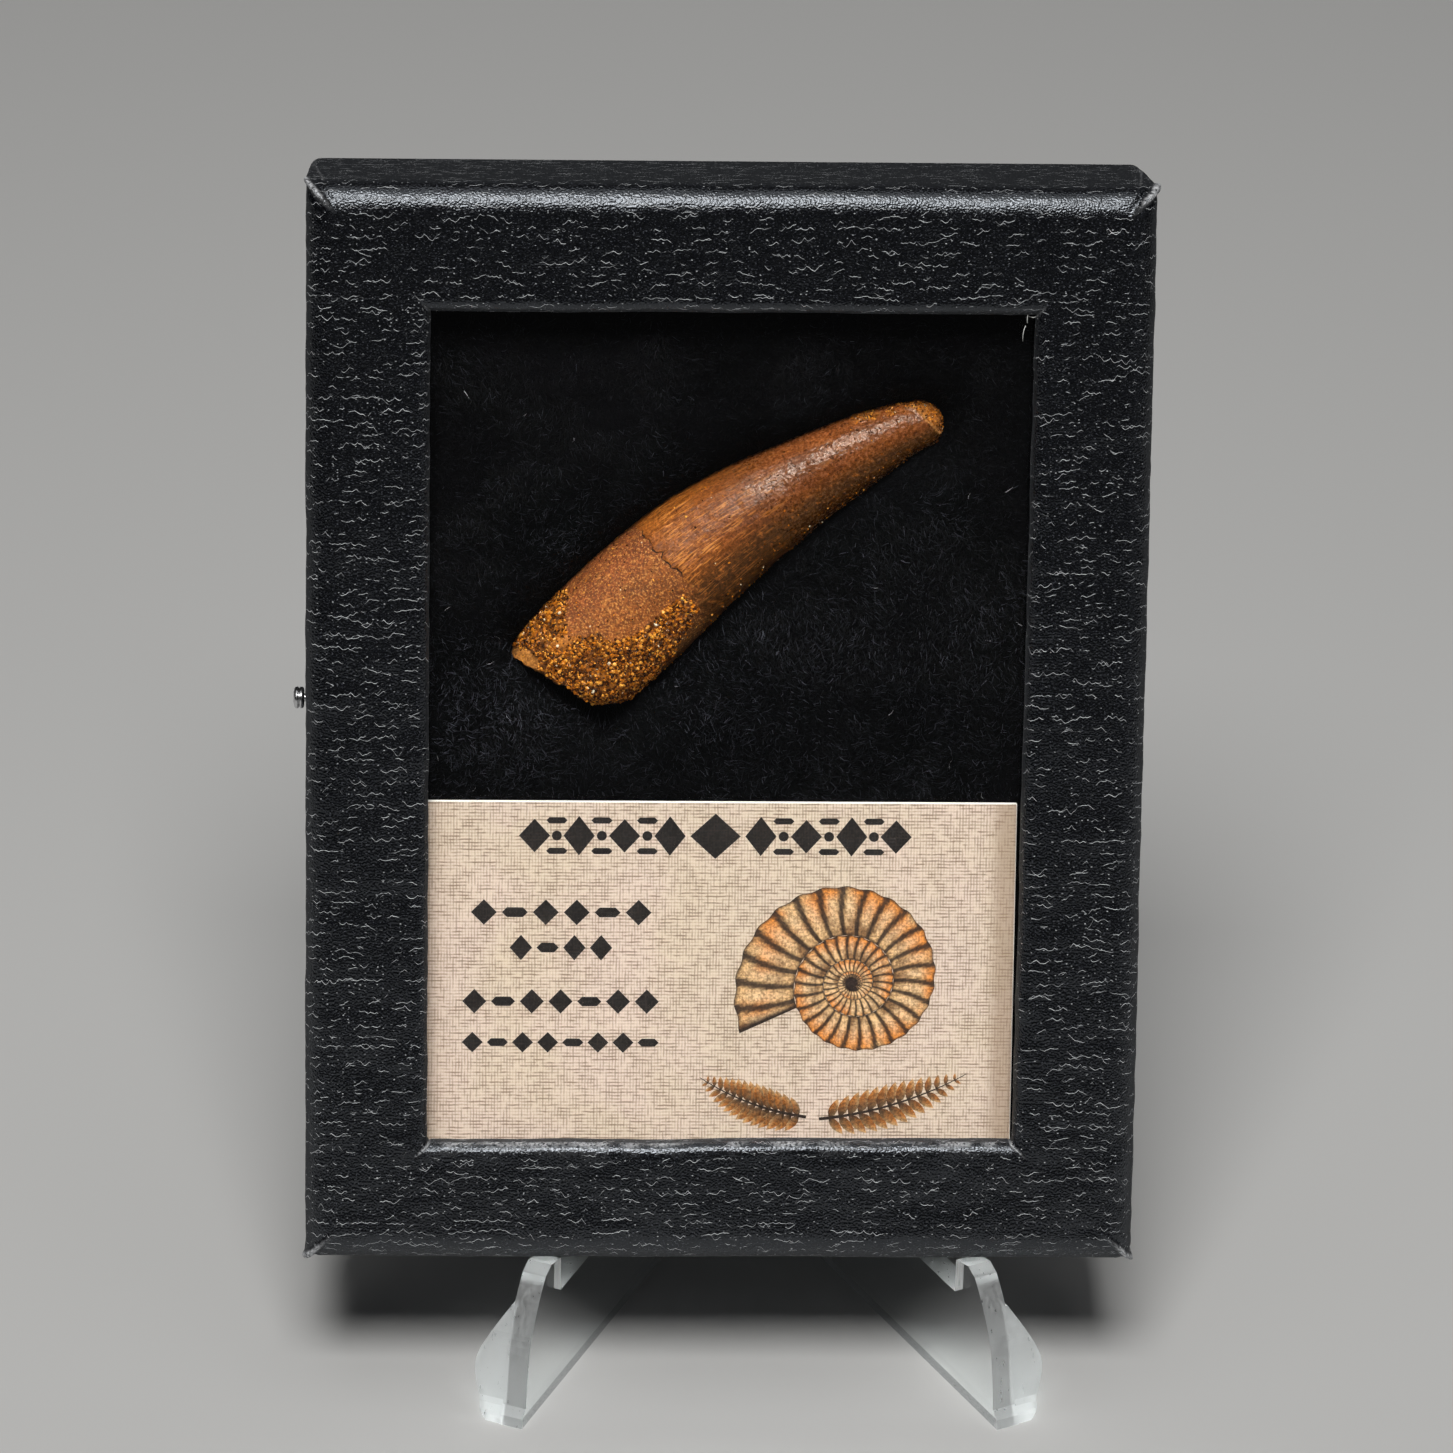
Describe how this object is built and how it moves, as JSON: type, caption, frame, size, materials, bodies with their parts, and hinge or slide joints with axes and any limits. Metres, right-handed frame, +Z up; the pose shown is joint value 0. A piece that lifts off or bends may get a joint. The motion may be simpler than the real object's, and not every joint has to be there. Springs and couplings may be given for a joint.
{
  "type": "mounted fossil tooth display case",
  "caption": "Curved fossil tooth with sandy crust on a black plush pad in a shallow glass-fronted case with a label card, leaning on a clear crossed-plate easel.",
  "frame": {"origin": "middle of the footprint, on the surface that the easel stands on", "axes": "+Z up, -Y out of the case's glass front towards the viewer, +X to the viewer's right"},
  "size_m": [0.084, 0.063, 0.1199],
  "materials": {
    "leatherette": "board covered in dark creased leatherette paper, low sheen",
    "covered_board": "board covered in plain dark paper, matte",
    "glass": "clear, polished",
    "plush": "black short-pile plush over soft wadding",
    "card": "pale buff linen card, matte",
    "tooth": "glossy brown enamel over a matte root, sandy crust at both ends",
    "steel": "bright turned steel",
    "acrylic": "clear, polished faces and frosted cut edges"
  },
  "bodies": {
    "root": {"lid": "leatherette", "tray": "covered_board", "glass_pane": "glass", "velvet_pad": "plush", "label_card": "card", "tooth": "tooth", "lid_pin": "steel", "easel_left": "acrylic", "easel_right": "acrylic"}
  },
  "joints": []
}
